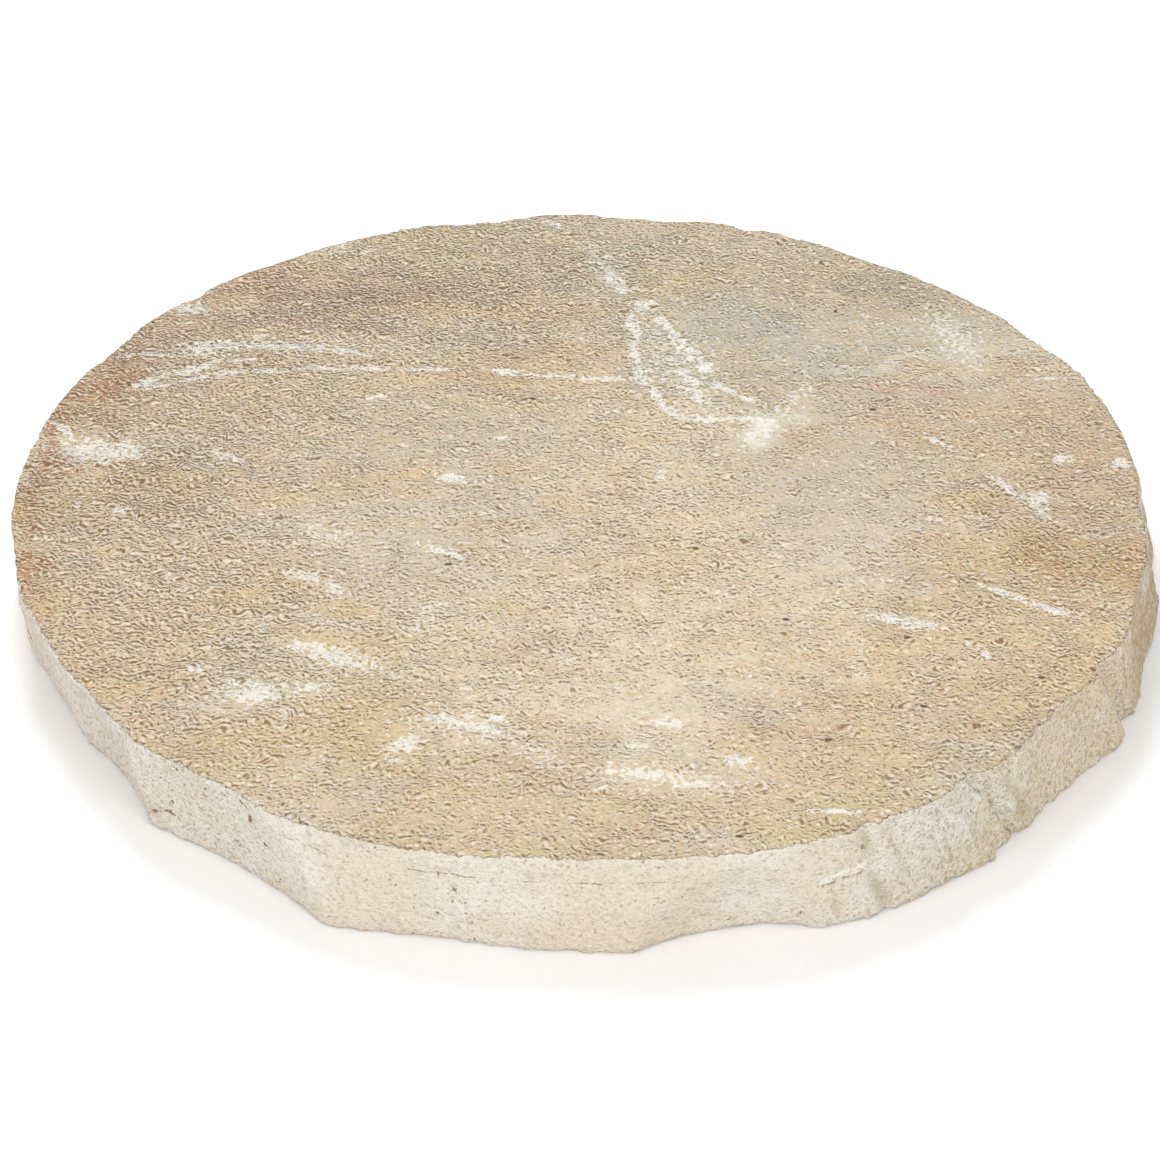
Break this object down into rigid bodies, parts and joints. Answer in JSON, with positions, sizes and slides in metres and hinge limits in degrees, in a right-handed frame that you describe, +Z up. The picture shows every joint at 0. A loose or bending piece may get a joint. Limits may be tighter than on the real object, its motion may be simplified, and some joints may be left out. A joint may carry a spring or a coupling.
{
  "type": "garden stepping stone",
  "caption": "Round sandstone stepping stone with a flat split tread face and a hand-broken edge that flares unevenly towards the bed.",
  "frame": {"origin": "on the bed face, under the centre of the tread's scribed circle", "axes": "+Z up out of the tread face, -Y towards the camera, +X to the right in the picture"},
  "size_m": [0.4649, 0.4596, 0.04],
  "materials": {
    "sandstone": "split face, matt"
  },
  "bodies": {
    "root": {"stepping_stone": "sandstone"}
  },
  "joints": []
}
